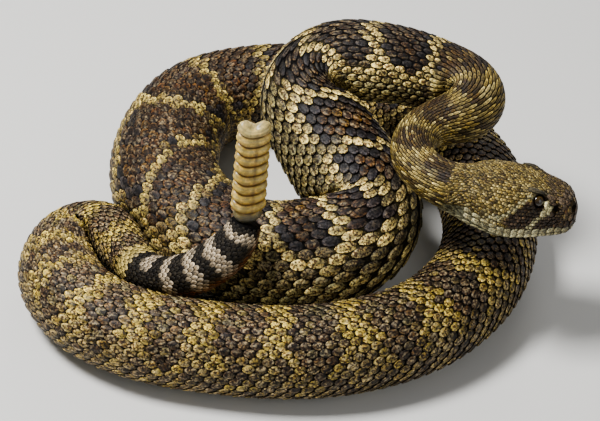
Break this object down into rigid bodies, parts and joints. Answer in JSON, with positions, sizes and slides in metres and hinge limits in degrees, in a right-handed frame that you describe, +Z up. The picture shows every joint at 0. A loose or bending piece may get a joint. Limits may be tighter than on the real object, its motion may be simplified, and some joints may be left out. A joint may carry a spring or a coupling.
{
  "type": "western diamondback rattlesnake",
  "caption": "Life-size rattlesnake coiled on the floor, neck held in an S over the coil, head raised and rattle upright; mouth closed, still figure.",
  "frame": {"origin": "middle of the coil's footprint, on the floor", "axes": "+X from the coil toward the side the head points to, +Y toward the back of the coil, +Z up"},
  "size_m": [0.2234, 0.2113, 0.0996],
  "materials": {
    "hide": "satin",
    "head_hide": "satin",
    "tail_hide": "satin",
    "rattle_horn": "satin",
    "eye": "gloss"
  },
  "bodies": {
    "root": {"head": "head_hide", "eye_right": "eye", "eye_left": "eye", "neck": "hide", "neck_bend": "hide", "fore_loop": "hide", "fore_rise": "hide", "mid_front": "hide", "mid_left": "hide", "mid_back": "hide", "hind_right": "hide", "hind_front": "hide", "hind_turn": "hide", "tail": "tail_hide", "rattle_lobe_1": "rattle_horn", "rattle_lobe_2": "rattle_horn", "rattle_lobe_3": "rattle_horn", "rattle_lobe_4": "rattle_horn", "rattle_lobe_5": "rattle_horn", "rattle_lobe_6": "rattle_horn", "rattle_lobe_7": "rattle_horn", "rattle_lobe_8": "rattle_horn", "rattle_lobe_9": "rattle_horn", "rattle_lobe_10": "rattle_horn"}
  },
  "joints": []
}
